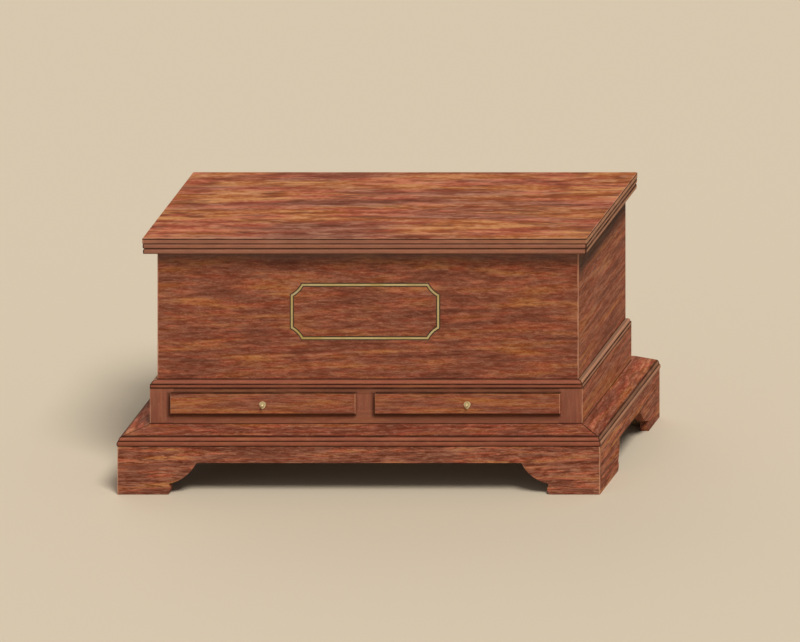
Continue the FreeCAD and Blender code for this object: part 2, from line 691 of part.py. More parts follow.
for name, side in SIDES.items():
    keep(mitred_side(f"lid_moulding_{name}", LID, side, "x_lid", "y_lid_front", "lid_inner",
                     "z_rim - lid_drop", "y_case_back"))

# Drawers. The sides are dovetailed into a lipped front and through the back, and a thin bottom sits
# in grooves and under the back; a brass knob on a drop-shaped plate is riveted through the front.
tail_pitch = f"(z_drawer_high - z_drawer_low) / {TAILS}"


def tails(y_root, y_end, upwards):
    """The dovetails at one end of a drawer side, from its lower corner up or from the upper one down."""
    corners = []
    order = range(TAILS) if upwards else reversed(range(TAILS))
    turn = 1 if upwards else -1
    for count in order:
        middle = f"z_drawer_low + {count + 0.5} * {tail_pitch}"
        corners.append((y_root, f"{middle} - {turn} * tail_root"))
        corners.append((y_end, f"{middle} - {turn} * (tail_root + tail_flare)"))
        corners.append((y_end, f"{middle} + {turn} * (tail_root + tail_flare)"))
        corners.append((y_root, f"{middle} + {turn} * tail_root"))
    return corners


for name, side in SIDES.items():
    drawer = f"drawer_{name}"
    x_mid = f"{side} * x_drawer"
    inner = "drawer_half - drawer_side"
    bottom_half = f"{inner} + bottom_groove"
    bottom = keep(block(f"{drawer}_bottom", (f"{x_mid} - ({bottom_half})", f"{x_mid} + {bottom_half}"),
                        ("y_front_back - bottom_groove", "y_drawer_back"),
                        ("z_bottom", "z_bottom + drawer_bottom")))
    back_root = "y_drawer_back - drawer_side"
    side_elevation = ([("y_front_back", "z_drawer_low")]
                      + tails("y_front_back", "y_front_back - tail_length", True)
                      + [("y_front_back", "z_drawer_high"), (back_root, "z_drawer_high")]
                      + tails(back_root, "y_drawer_back", False)
                      + [(back_root, "z_drawer_low")])
    walls = []
    for hand, way in SIDES.items():
        near = f"{x_mid} + {way} * ({inner})"
        far = f"{x_mid} + {way} * drawer_half"
        stretch = (near, far) if way > 0 else (far, near)
        wall = shaped(f"{drawer}_side_{hand}_blank", "YZ", side_elevation, *stretch)
        walls.append(keep(housed(f"{drawer}_side_{hand}", wall, [bottom])))
    width = (f"{x_mid} - drawer_half", f"{x_mid} + drawer_half")
    back_panel = block(f"{drawer}_back_blank", width, (back_root, "y_drawer_back"),
                       ("z_bottom + drawer_bottom", "z_drawer_high"))
    keep(housed(f"{drawer}_back", back_panel, walls))

    front_panel = doc.addObject("PartDesign::Body", f"{drawer}_front_blank")
    lip_wide = "drawer_half + drawer_clear + lip"
    lip_left = f"{x_mid} - ({lip_wide})"
    lip_right = f"{x_mid} + {lip_wide}"
    lip_face = [(lip_left, "z_open_low - lip"), (lip_right, "z_open_low - lip"),
                (lip_right, "z_open_high + lip"), (lip_left, "z_open_high + lip")]
    padded(front_panel, "XZ", lip_face, "y_front_face", "y_front_face + lip_thick")
    rounded(front_panel, "lip_round", lambda middle: abs(middle.y - amount("y_front_face")) < TOUCH)
    plug_face = [(width[0], "z_drawer_low"), (width[1], "z_drawer_low"),
                 (width[1], "z_drawer_high"), (width[0], "z_drawer_high")]
    padded(front_panel, "XZ", plug_face, "y_front_face + lip_thick", "y_front_back")
    stem_hole = rod(f"{drawer}_stem_hole", "y", (x_mid, "y_front_face", "z_pull"), "drawer_front",
                    "stem_radius + stem_clear")
    keep(housed(f"{drawer}_front", front_panel, walls + [bottom, stem_hole]))

    plate_face = [(f"{x_mid} + plate_width / 2", "z_pull + plate_shoulder", "-plate_crown"),
                  (f"{x_mid} - plate_width / 2", "z_pull + plate_shoulder", "-plate_swell"),
                  (x_mid, "z_pull - plate_point", "-plate_swell")]
    plate = shaped(f"{drawer}_plate_blank", "XZ", plate_face, "y_front_face - plate_thick", "y_front_face")
    plate_hole = rod(f"{drawer}_plate_hole", "y", (x_mid, "y_front_face - plate_thick", "z_pull"),
                     "plate_thick", "stem_radius")
    keep(housed(f"{drawer}_knob_plate", plate, [plate_hole]))

    knob = doc.addObject("PartDesign::Body", f"{drawer}_knob")
    stem_far = "drawer_front + washer_thick + stem_end"
    knob_outline = [("0", "-knob_reach", "-knob_swell"),
                    ("knob_radius", "-knob_reach + knob_dome"),
                    ("knob_neck", "-plate_thick - collar_height - knob_neck"),
                    ("knob_neck", "-plate_thick - collar_height"),
                    ("collar_radius", "-plate_thick - collar_height"), ("collar_radius", "-plate_thick"),
                    ("stem_radius", "-plate_thick"), ("stem_radius", stem_far), ("0", stem_far)]
    turned = drawn(knob, f"{drawer}_knob_outline", "XY", [knob_outline])
    turning = knob.newObject("PartDesign::Revolution", f"{drawer}_knob_turning")
    turning.Profile = turned
    turning.ReferenceAxis = (turned, ["V_Axis"])
    turning.Angle = 360
    for axis, rule in zip("xyz", (x_mid, "y_front_face", "z_pull")):
        knob.setExpression(f"Placement.Base.{axis}", bound(rule))
    doc.recompute()
    keep(knob)

    washer_place = (x_mid, "y_front_back", "z_pull")
    washer = rod(f"{drawer}_washer_blank", "y", washer_place, "washer_thick", "washer_radius")
    washer_hole = rod(f"{drawer}_washer_hole", "y", washer_place, "washer_thick", "stem_radius")
    keep(housed(f"{drawer}_knob_washer", washer, [washer_hole]))

doc.recompute()
for item in doc.Objects:
    if "Invalid" in item.State or "Error" in item.State:
        raise RuntimeError(f"{item.Label} did not build: {item.State}")
for piece in pieces:
    if piece.Shape.isNull() or not piece.Shape.isValid() or not piece.Shape.Solids:
        raise RuntimeError(f"{piece.Label} is not a sound solid")

os.makedirs("parts", exist_ok=True)
for piece in pieces:
    piece.Shape.exportStep(f"parts/{piece.Label}.step")
print(f"{len(pieces)} pieces written")
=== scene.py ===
import itertools
import math

import bmesh
import bpy
from mathutils import Euler, Matrix, Vector


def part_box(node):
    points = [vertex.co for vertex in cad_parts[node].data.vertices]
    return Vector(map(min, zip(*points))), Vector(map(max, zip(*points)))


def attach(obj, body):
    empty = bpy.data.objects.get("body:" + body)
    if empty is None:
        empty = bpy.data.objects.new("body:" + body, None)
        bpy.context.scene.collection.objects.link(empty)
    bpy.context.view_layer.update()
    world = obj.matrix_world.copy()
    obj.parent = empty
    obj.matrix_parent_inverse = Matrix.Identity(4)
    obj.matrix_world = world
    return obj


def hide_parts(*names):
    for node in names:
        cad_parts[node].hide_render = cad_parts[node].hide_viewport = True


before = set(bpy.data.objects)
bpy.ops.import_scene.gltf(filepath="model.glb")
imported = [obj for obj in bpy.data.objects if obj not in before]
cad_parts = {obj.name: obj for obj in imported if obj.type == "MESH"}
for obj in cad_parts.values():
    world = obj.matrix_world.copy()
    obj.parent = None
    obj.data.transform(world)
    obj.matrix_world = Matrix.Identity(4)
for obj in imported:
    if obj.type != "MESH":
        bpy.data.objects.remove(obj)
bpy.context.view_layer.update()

# Base boards
# Walnut boards stand on edge in front and at the sides, sawn below into bracket feet with a scroll.
# Their front corners are mitred, and the hand-planed faces are waxed and worn pale at the corners.
# Where the chest has boards and mouldings of walnut, and which way their grain runs
SIDES = (("front", "X"), ("left", "Y"), ("right", "Y"))


def tone(red, green, blue):
    """A colour named in the usual 0 to 255 scale, as the shader takes it."""
    shares = [part / 255 for part in (red, green, blue)]
    return tuple(c / 12.92 if c <= 0.04045 else ((c + 0.055) / 1.055) ** 2.4 for c in shares) + (1.0,)


def fed(tree, made, key, value):
    """Set one input of a node to a value, or link it from another node."""
    if isinstance(value, bpy.types.NodeSocket):
        tree.links.new(value, made.inputs[key])
    else:
        made.inputs[key].default_value = value


def add(tree, kind, inputs=None, **settings):
    """A node with its settings, and with its inputs set to values or linked from other nodes."""
    made = tree.nodes.new(kind)
    for name, value in settings.items():
        setattr(made, name, value)
    for key, value in (inputs or {}).items():
        fed(tree, made, key, value)
    return made


def calc(tree, operation, *terms):
    """The result of one sum."""
    return add(tree, "ShaderNodeMath", dict(enumerate(terms)), operation=operation).outputs[0]


def moved(tree, operation, *terms):
    """The result of one sum on vectors."""
    made = add(tree, "ShaderNodeVectorMath", dict(enumerate(terms)), operation=operation)
    return made.outputs["Value" if operation == "LENGTH" else "Vector"]


def split(tree, vector):
    """The three parts of a vector."""
    return add(tree, "ShaderNodeSeparateXYZ", {0: vector}).outputs


def spread(tree, value, low, high, start=0.0, end=1.0):
    """The value drawn out so that low becomes start and high becomes end."""
    limits = {"Value": value, "From Min": low, "From Max": high, "To Min": start, "To Max": end}
    return add(tree, "ShaderNodeMapRange", limits, interpolation_type="SMOOTHSTEP").outputs[0]


def between(tree, value, low, high):
    """One where the value lies between two limits, and nothing elsewhere."""
    above = calc(tree, "GREATER_THAN", value, low)
    return calc(tree, "MULTIPLY", above, calc(tree, "LESS_THAN", value, high))


def speckled(tree, vector, scale, detail):
    """Plain noise, alike in every direction."""
    noise = {"Vector": vector, "Scale": scale, "Detail": detail}
    return add(tree, "ShaderNodeTexNoise", noise).outputs[0]


def tinted(tree, amount, first, second):
    """The first colour going over to the second, by the sockets that a Mix node has for colours."""
    made = add(tree, "ShaderNodeMix", None, data_type="RGBA")
    for key, value in ((0, amount), (6, first), (7, second)):
        fed(tree, made, key, value)
    return made.outputs[2]


def laid(tree, colour, mask, cover, over):
    """The colour with another laid over it where the mask is, as strongly as cover says."""
    return tinted(tree, calc(tree, "MULTIPLY", mask, cover), colour, tone(*over))


def graded(tree, amount, *colours):
    """A colour picked along a row of colours, evenly spaced."""
    made = add(tree, "ShaderNodeValToRGB", {0: amount})
    row = made.color_ramp.elements
    row[0].color = tone(*colours[0])
    row[1].color = tone(*colours[-1])
    for number in range(1, len(colours) - 1):
        row.new(number / (len(colours) - 1)).color = tone(*colours[number])
    return made.outputs[0]


# Marks in the grain: length along it and width across it, in metres, and how finely they break up
STREAK = (0.036, 0.0054, 4.0)
FIBRE = (0.007, 0.0021, 2.0)
DARK_STROKE = (0.044, 0.0080, 2.5)
LIGHT_STROKE = (0.030, 0.0050, 2.0)
FINE_LINE = (0.056, 0.0034, 1.0)
HUE_DRIFT = (0.26, 0.022, 1.0)
ROSE_DRIFT = (0.095, 0.010, 1.0)
SHADE_DRIFT = (0.065, 0.022, 2.0)
PORE = (0.016, 0.0006, 1.0)
PLANE_MARK = (0.16, 0.045, 1.0)
GRAIN_ROUGHNESS = 0.6
# How the grain wavers: length, width and reach sideways
SLOW_SWAY = (0.55, 0.12, 0.020)
QUICK_SWAY = (0.10, 0.030, 0.004)
SWAY_DETAIL = 1.0
# Growth rings: their width, how far they lean along the board, and where the pith lies
RING_WIDTH = 0.0060
RING_LEAN = 0.024
RING_DETAIL = 2.0
PITH = (0.0, 0.09, 0.09)
# Where in its noise each mark begins and where it is full
STREAK_SPAN = (0.34, 0.66)
DARK_SPAN = (0.53, 0.66)
LIGHT_SPAN = (0.56, 0.68)
FINE_SPAN = (0.58, 0.66)
PORE_SPAN = (0.60, 0.74)
# What each mark adds to the tone of the streaks, and how far it stands up or sinks in
STREAK_SHARE = 0.42
FIBRE_SHARE = 0.24
RING_SHARE = 0.22
SHADE_SHARE = 0.16
FRAY = 0.16
FIBRE_RISE = 0.25
PLANE_RISE = 1.6
PORE_RISE = -0.5
FAR_OFF = (9.0, 9.0, 9.0)


def drawn_out(tree, vector, length, width, detail, output="Fac"):
    """Noise drawn out along the grain to a length and a width."""
    stretched = moved(tree, "MULTIPLY", vector, (1 / length, 1 / width, 1 / width))
    noise = {"Vector": stretched, "Scale": 1.0, "Detail": detail, "Roughness": GRAIN_ROUGHNESS}
    return add(tree, "ShaderNodeTexNoise", noise).outputs[output]


def shared(name, inputs, outputs):
    """A new shader group with named sockets, and its two ends."""
    group = bpy.data.node_groups.new(name, "ShaderNodeTree")
    for way, sockets in (("INPUT", inputs), ("OUTPUT", outputs)):
        for label, kind in sockets:
            group.interface.new_socket(label, in_out=way, socket_type=f"NodeSocket{kind}")
    return group, add(group, "NodeGroupInput").outputs, add(group, "NodeGroupOutput").inputs


def new_finish(name):
    """A new material, with its nodes and its shader."""
    material = bpy.data.materials.new(name)
    material.use_nodes = True
    return material, material.node_tree, material.node_tree.nodes["Principled BSDF"]


def bumped(tree, shader, height, strength, distance):
    """Raise and sink the surface of a material by a height."""
    bump = add(tree, "ShaderNodeBump", {"Height": height, "Strength": strength, "Distance": distance})
    tree.links.new(bump.outputs[0], shader.inputs["Normal"])


def wood_figure():
    """Grain along X: wavering streaks and strokes, growth rings round a far pith, hue and open pores."""
    labels = ("Streak", "Hue", "Rose", "Dark", "Light", "Fine", "Pore", "Height")
    inputs = [("Vector", "Vector"), ("Coarse", "Vector")]
    group, given, result = shared("wood_figure", inputs, [(label, "Float") for label in labels])
    plain = given["Vector"]
    vector = moved(group, "DIVIDE", plain, given["Coarse"])
    swayed = vector
    for length, width, reach in (SLOW_SWAY, QUICK_SWAY):
        waver = drawn_out(group, vector, length, width, SWAY_DETAIL, "Color")
        swayed = moved(group, "MULTIPLY_ADD", waver, (0.0, reach, reach), swayed)
    other_side = moved(group, "ADD", swayed, FAR_OFF)
    streak = drawn_out(group, swayed, *STREAK)
    shade = drawn_out(group, swayed, *SHADE_DRIFT)
    fibre = drawn_out(group, swayed, *FIBRE)
    hue = drawn_out(group, other_side, *HUE_DRIFT)
    rose = drawn_out(group, moved(group, "ADD", other_side, FAR_OFF), *ROSE_DRIFT)
    dark = drawn_out(group, other_side, *DARK_STROKE)
    light = drawn_out(group, other_side, *LIGHT_STROKE)
    fine = drawn_out(group, other_side, *FINE_LINE)
    frayed = calc(group, "MULTIPLY_ADD", fibre, FRAY, -FRAY / 2)
    pore = spread(group, drawn_out(group, plain, *PORE), *PORE_SPAN)
    planed = drawn_out(group, plain, *PLANE_MARK)
    off_pith = moved(group, "MULTIPLY", moved(group, "SUBTRACT", swayed, PITH), (0.0, 1.0, 1.0))
    outward = moved(group, "LENGTH", off_pith)
    outward = calc(group, "MULTIPLY_ADD", split(group, vector)["X"], RING_LEAN, outward)
    growth = {"W": calc(group, "DIVIDE", outward, RING_WIDTH), "Scale": 1.0, "Detail": RING_DETAIL}
    ring = add(group, "ShaderNodeTexNoise", growth, noise_dimensions="1D").outputs[0]
    mixed = calc(group, "MULTIPLY", streak, STREAK_SHARE)
    for mark, share in ((fibre, FIBRE_SHARE), (ring, RING_SHARE), (shade, SHADE_SHARE)):
        mixed = calc(group, "MULTIPLY_ADD", mark, share, mixed)
    raised = calc(group, "MULTIPLY", planed, PLANE_RISE)
    for mark, rise in ((fibre, FIBRE_RISE), (pore, PORE_RISE)):
        raised = calc(group, "MULTIPLY_ADD", mark, rise, raised)
    found = {"Streak": spread(group, mixed, *STREAK_SPAN), "Hue": hue, "Rose": rose, "Pore": pore,
             "Height": raised}
    for label, stroke, span in (("Dark", dark, DARK_SPAN), ("Light", light, LIGHT_SPAN),
                                ("Fine", fine, FINE_SPAN)):
        found[label] = spread(group, calc(group, "ADD", stroke, frayed), *span)
    for label, value in found.items():
        group.links.new(value, result[label])
    return group


# Noise that breaks up the worn edges: scale and detail, then its span and what that becomes
RUB_NOISE = (26.0, 4.0)
RUB_BREAK = (0.30, 0.70, 0.5, 1.2)
# Share of their reach within which wear and dirt are full
FULL_SHARE = 0.35


def board_edges():
    """How near a point is to the upright and the level edges of a squared board, broken up by rubbing."""
    inputs = [("Vector", "Vector"), ("Low", "Vector"), ("High", "Vector"), ("Upright reach", "Float"),
              ("Level reach", "Float")]
    outputs = [("Upright", "Float"), ("Level", "Float"), ("Rub", "Float")]
    group, given, result = shared("board_edges", inputs, outputs)
    from_low = moved(group, "SUBTRACT", given["Vector"], given["Low"])
    from_high = moved(group, "SUBTRACT", given["High"], given["Vector"])
    near = split(group, moved(group, "MINIMUM", from_low, from_high))
    rubbing = speckled(group, given["Vector"], *RUB_NOISE)
    broken = spread(group, rubbing, *RUB_BREAK)
    beside = calc(group, "MINIMUM", near["X"], near["Y"])
    for label, away in (("Upright", calc(group, "MAXIMUM", near["X"], near["Y"])),
                        ("Level", calc(group, "MAXIMUM", beside, near["Z"]))):
        reach = calc(group, "MULTIPLY", given[f"{label} reach"], broken)
        worn = spread(group, calc(group, "DIVIDE", away, reach), FULL_SHARE, 1.0, 1.0, 0.0)
        group.links.new(worn, result[label])
    group.links.new(rubbing, result["Rub"])
    return group


# Noise that breaks up the dirt and how the dirt lies in the mitres, then the painted shadow round the
# drawers' lips: its reach, its shift to their left and below them, and its strength
DIRT_NOISE = (18.0, 3.0)
DIRT_BREAK = (0.25, 0.6, 0.75, 1.0)
MITRE_DIRT = 0.6
LIP_SHADOW_REACH = 0.010
LIP_LEE = (0.0060, 0.0, 0.0065)
LIP_SHADOW_COVER = 0.7


def joint_dirt_and_lip_shadow():
    """Old wax and dust in the joints, along three levels and in the mitres, and a painted shadow round the
    drawers' lips, shifted to their left and below them.
    """
    inputs = [(label, "Vector") for label in ("Vector", "Levels", "Corner", "Lip low", "Lip high")]
    group, given, result = shared("joint_dirt_and_lip_shadow", inputs + [("Width", "Float")], [("Dirt_and_shadow", "Float")])
    place = split(group, given["Vector"])
    sideways = calc(group, "ABSOLUTE", place["X"])
    levels = split(group, given["Levels"])
    lines = [calc(group, "ABSOLUTE", calc(group, "SUBTRACT", place["Z"], levels[axis])) for axis in "XYZ"]
    line = calc(group, "MINIMUM", calc(group, "MINIMUM", lines[0], lines[1]), lines[2])
    corner = split(group, given["Corner"])
    inward = calc(group, "SUBTRACT", corner["X"], sideways)
    backward = calc(group, "SUBTRACT", place["Y"], corner["Y"])
    mitre = calc(group, "ABSOLUTE", calc(group, "SUBTRACT", inward, backward))
    mitre = calc(group, "MULTIPLY", mitre, MITRE_DIRT)
    # Painted shadow: the frame is darkened in a ring round each drawer lip, wider to its left and below
    # it.
    mirrored = moved(group, "ABSOLUTE", moved(group, "ADD", given["Vector"], LIP_LEE))
    short = split(group, moved(group, "SUBTRACT", given["Lip low"], mirrored))
    past = split(group, moved(group, "SUBTRACT", mirrored, given["Lip high"]))
    beside = calc(group, "MAXIMUM", short["X"], past["X"])
    lip = calc(group, "MAXIMUM", beside, calc(group, "MAXIMUM", short["Z"], past["Z"]))
    share = calc(group, "DIVIDE", calc(group, "MINIMUM", line, mitre), given["Width"])
    patchy = spread(group, speckled(group, given["Vector"], *DIRT_NOISE), *DIRT_BREAK)
    joint_lines = calc(group, "MULTIPLY", spread(group, share, FULL_SHARE, 1.0, 1.0, 0.0), patchy)
    dirt_and_shadow = calc(group, "MAXIMUM", joint_lines, spread(group, lip, 0.0, LIP_SHADOW_REACH, LIP_SHADOW_COVER, 0.0))
    group.links.new(dirt_and_shadow, result["Dirt_and_shadow"])
    return group


FIGURE = wood_figure()
EDGES = board_edges()
DIRT_AND_LIP_SHADOW = joint_dirt_and_lip_shadow()
GRAIN_TURN = {"X": (0.0, 0.0, 0.0), "Y": (0.0, 0.0, -math.pi / 2), "Z": (0.0, math.pi / 2, 0.0)}
BOARD_STEP = 2.7
board_number = itertools.count(1)


def grained(tree, name, along, coarse=(1.0, 1.0)):
    """The wood figure laid along one axis of a board, different on every board, and drawn out by the two
    parts of coarse along the grain and across it."""
    low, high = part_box(name)
    turn = Euler(GRAIN_TURN[along])
    start = Vector((BOARD_STEP * next(board_number), 0.0, 0.0)) - turn.to_matrix() @ ((low + high) / 2)
    place = add(tree, "ShaderNodeTexCoord").outputs["Object"]
    laying = {"Vector": place, "Location": start, "Rotation": turn}
    aligned = add(tree, "ShaderNodeMapping", laying).outputs[0]
    given = {"Vector": aligned, "Coarse": (coarse[0], coarse[1], coarse[1])}
    return place, add(tree, "ShaderNodeGroup", given, node_tree=FIGURE).outputs


def finished(name, material):
    """Give a piece its finish in every slot."""
    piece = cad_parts[name]
    for slot in piece.material_slots:
        slot.material = material


def edged(tree, place, span, upright, level):
    """The edge masks of a board, with how far the wear reaches from its upright and level edges."""
    low, high = span
    given = {"Vector": place, "Low": low, "High": high, "Upright reach": upright, "Level reach": level}
    return add(tree, "ShaderNodeGroup", given, node_tree=EDGES).outputs


WALNUT_SHADE = (100, 45, 26)
WALNUT_RED = (121, 65, 45)
WALNUT_WARM = (137, 80, 59)
WALNUT_PALE = (158, 104, 82)
AMBER_SHADE = (126, 64, 31)
AMBER = (155, 87, 46)
AMBER_PALE = (188, 128, 80)
ROSE_SHADE = (119, 54, 38)
ROSE = (152, 74, 52)
ROSE_PALE = (186, 110, 80)
UMBER_SHADE = (82, 44, 30)
UMBER = (106, 58, 43)
UMBER_PALE = (128, 78, 60)
SAPWOOD = (198, 146, 114)
# Old wax in the pores and joints, also the colour of the painted shadow round the drawer lips and under
# the waist.
OLD_WAX_AND_SHADE = (46, 24, 15)
# Where in their noise the hues turn, and how strongly each colour covers what lies under it
AMBER_SPAN = (0.46, 0.70)
ROSE_SPAN = (0.45, 0.66)
UMBER_SPAN = (0.30, 0.50)
ROSE_COVER = 0.8
UMBER_COVER = 0.85
DARK_COVER = 0.55
LIGHT_COVER = 0.24
FINE_COVER = 0.42
PORE_COVER = 0.36


def walnut_grain(tree, grain, glow, lift, figure):
    """The colour of walnut: four hues, each graded along the streaks, then the strokes and the pores."""
    even = (1 - figure) / 2
    streak = calc(tree, "MULTIPLY_ADD", grain["Streak"], figure, even + lift)
    hue = calc(tree, "ADD", calc(tree, "MULTIPLY_ADD", grain["Hue"], figure, even), glow)
    red = graded(tree, streak, WALNUT_SHADE, WALNUT_RED, WALNUT_WARM, WALNUT_PALE)
    amber = graded(tree, streak, AMBER_SHADE, AMBER, AMBER_PALE)
    umber = graded(tree, streak, UMBER_SHADE, UMBER, UMBER_PALE)
    rose = graded(tree, streak, ROSE_SHADE, ROSE, ROSE_PALE)
    colour = tinted(tree, spread(tree, hue, *AMBER_SPAN), red, amber)
    colour = tinted(tree, spread(tree, grain["Rose"], *ROSE_SPAN, 0.0, ROSE_COVER * figure), colour, rose)
    colour = tinted(tree, spread(tree, hue, *UMBER_SPAN, UMBER_COVER, 0.0), colour, umber)
    for label, cover, over in (("Dark", DARK_COVER * figure, WALNUT_SHADE),
                               ("Light", LIGHT_COVER * figure, SAPWOOD),
                               ("Fine", FINE_COVER * figure, UMBER_SHADE),
                               ("Pore", PORE_COVER, OLD_WAX_AND_SHADE)):
        colour = laid(tree, colour, grain[label], cover, over)
    return colour


WORN_WALNUT = (198, 146, 114)
RAW_WALNUT = (128, 92, 66)
DUST_AND_SHADE = (112, 88, 68)
# Burnished mouldings, paler on the ends as painted light, and painted shade below the lid, by the
# direction of the grain
BURNISHED_BANDS_LIT_ENDS = {"X": (152, 97, 73), "Y": (176, 131, 103), "Z": (145, 91, 71)}
LID_PAINTED_SHADE = {"X": (109, 91, 84), "Y": (66, 50, 43)}
# Painted shade below the lid, on the front and on the ends: how far down it is thickest, where it begins
# to thin, where it ends and how thick it is
LEE = {"X": (0.008, 0.010, 0.046, 0.55), "Y": (0.032, 0.048, 0.098, 0.80)}
# How strongly burnishing, dust with painted shade, bareness, wear, and dirt with the painted lip shadow
# cover the grain
BURNISH_COVER = 0.7
DUST_AND_SHADE_COVER = 0.6
RAW_COVER = 0.55
WEAR_COVER = 0.7
DIRT_AND_SHADOW_COVER = 0.9
# Roughness of the wax and what changes it, its shine, and the strength and depth of the bumps
WAX_DULL = 0.60
STREAK_DULL = -0.10
RAW_DULL = 0.22
RUB_DULL = 0.16
WAX_SHINE = 0.02
WALNUT_BUMP = (0.35, 0.0006)
# Usual width of the dirt in a joint, no wear at all, and the skin of a face that is left bare
SEAM = 0.0026
NO_WEAR = 0.00001
RAW_DEPTH = 0.0002


def walnut(name, along, glow=0.0, lift=0.0, figure=1.0, coarse=(1.0, 1.0), levels=(), corner=FAR_OFF,
           seam=SEAM, lips=None, lee=None, raw=None, span=None, band=None, band_colour=None, aside=None,
           dust_and_shade=None, upright=NO_WEAR, level=NO_WEAR):
    """Waxed walnut. Glow turns its hue towards amber and lift makes it paler, figure and coarse are how
    strong and how wide the grain is, and band is the lowest and highest level of a moulding, which the
    plane has burnished to the colour band_colour; on the top rail that colour is darker, as painted shade
    under the waist. Further than aside from the middle, and on the ends, the band takes a paler tone that
    is painted light. dust_and_shade is the lowest and highest level of a hollow darkened by dust and by
    painted shade. Levels, corner and lips are where dirt gathers, with a painted shadow round the lips,
    and seam is how wide it lies. Lee is the level below which the wood is darkened with painted shade
    under the lid. Raw is the axis, place and way of a face left bare. Upright and level are how far the
    edges of the board, or of its span, are worn."""
    material, tree, shader = new_finish(f"walnut_{name}")
    place, grain = grained(tree, name, along, coarse)
    colour = walnut_grain(tree, grain, glow, lift, figure)
    height = split(tree, place)["Z"]
    # Band colour: the burnished moulding, paler on the ends and beyond aside as painted light.
    if band:
        moulded = tone(*(band_colour or BURNISHED_BANDS_LIT_ENDS[along]))
        if aside:
            beyond = calc(tree, "GREATER_THAN", calc(tree, "ABSOLUTE", split(tree, place)["X"]), aside)
            moulded = tinted(tree, beyond, moulded, tone(*BURNISHED_BANDS_LIT_ENDS["Y"]))
        burnished = calc(tree, "MULTIPLY", between(tree, height, *band), BURNISH_COVER)
        colour = tinted(tree, burnished, colour, moulded)
    # Dust and painted shade darken a hollow.
    if dust_and_shade:
        colour = laid(tree, colour, between(tree, height, *dust_and_shade), DUST_AND_SHADE_COVER, DUST_AND_SHADE)
    dull = calc(tree, "MULTIPLY_ADD", grain["Streak"], STREAK_DULL, WAX_DULL)
    waxed = 1.0
    if raw:
        axis, face, way = raw
        depth = calc(tree, "MULTIPLY", split(tree, place)[axis], way)
        waxed = calc(tree, "LESS_THAN", depth, face * way - RAW_DEPTH)
        colour = tinted(tree, waxed, tinted(tree, RAW_COVER, colour, tone(*RAW_WALNUT)), colour)
        dull = calc(tree, "ADD", dull, calc(tree, "MULTIPLY_ADD", waxed, -RAW_DULL, RAW_DULL))
    # Painted shade below the lid, greyer on the front and darker on the ends.
    if lee:
        thickest, thinning, reach, thickness = LEE[along]
        under_lid_shade = spread(tree, height, lee - reach, lee - thinning, 0.0, thickness)
        under_lid_shade_top = spread(tree, height, lee - thickest, lee, 1.0, 0.0)
        under_lid_shade = calc(tree, "MULTIPLY", under_lid_shade, under_lid_shade_top)
        colour = laid(tree, colour, under_lid_shade, waxed, LID_PAINTED_SHADE[along])
    edges = edged(tree, place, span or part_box(name), upright, level)
    for label in ("Upright", "Level"):
        colour = laid(tree, colour, edges[label], WEAR_COVER, WORN_WALNUT)
    low, high = lips or (FAR_OFF, FAR_OFF)
    given = {"Vector": place, "Levels": (*levels, *FAR_OFF)[:3], "Corner": corner, "Lip low": low,
             "Lip high": high, "Width": seam}
    # Dirt in the joints together with the painted shadow round the drawer lips, both in the colour of old
    # wax.
    dirt_and_shadow = add(tree, "ShaderNodeGroup", given, node_tree=DIRT_AND_LIP_SHADOW).outputs["Dirt_and_shadow"]
    colour = laid(tree, colour, calc(tree, "MULTIPLY", dirt_and_shadow, DIRT_AND_SHADOW_COVER), waxed, OLD_WAX_AND_SHADE)
    tree.links.new(colour, shader.inputs["Base Color"])
    dull = calc(tree, "MULTIPLY_ADD", edges["Rub"], RUB_DULL, calc(tree, "SUBTRACT", dull, RUB_DULL / 2))
    tree.links.new(dull, shader.inputs["Roughness"])
    bumped(tree, shader, grain["Height"], *WALNUT_BUMP)
    shader.inputs["Specular IOR Level"].default_value = WAX_SHINE
    finished(name, material)


# Edges sharper than this angle, in degrees, are eased in two steps, after the skin is welded into one
EASE_STEPS = 2
SHARP_ANGLE = 35.0
WELD_GAP = 0.00002


def eased(name, width):
    """Take the sharp edges off a piece, as a plane or a file does."""
    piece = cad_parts[name]
    weld = piece.modifiers.new("one_skin", "WELD")
    weld.merge_threshold = WELD_GAP
    ease = piece.modifiers.new("eased_edges", "BEVEL")
    ease.width = width
    ease.segments = EASE_STEPS
    ease.limit_method = "ANGLE"
    ease.angle_limit = math.radians(SHARP_ANGLE)
    piece.modifiers.new("even_shading", "WEIGHTED_NORMAL")


BASE_EASE = 0.0018
for side, along in SIDES:
    name = f"base_{side}_board"
    base_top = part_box(name)[1].z
    walnut(name, along, glow=-0.09, lift=0.21, figure=1.3, coarse=(0.85, 0.7), levels=(base_top,),
           upright=0.004)
    eased(name, BASE_EASE)

# Back board and glue blocks
# A rough poplar board closes the base behind, with plain sawn feet. Blocks of the same wood are
# rubbed into the corners with hide glue to hold the mitres.
POPLAR_SHADE = (140, 106, 74)
POPLAR = (164, 128, 92)
POPLAR_PALE = (184, 150, 112)
POPLAR_GREEN = (150, 119, 83)
POPLAR_GRIME = (88, 66, 46)
GREEN_COVER = 0.4
# Where in the hue's noise the grime begins and is full, and how thick it is there
GRIME_SPREAD = (0.44, 0.70, 0.0, 0.35)
RUBBED_COVER = 0.5
GRIMY_PORE = 0.2
POPLAR_DULL = 0.8
POPLAR_SHINE = 0.25
POPLAR_BUMP = (0.5, 0.0007)
SAW_PITCH = 0.0055
SAW_WANDER = 0.004
BLOCK_EASE = 0.002


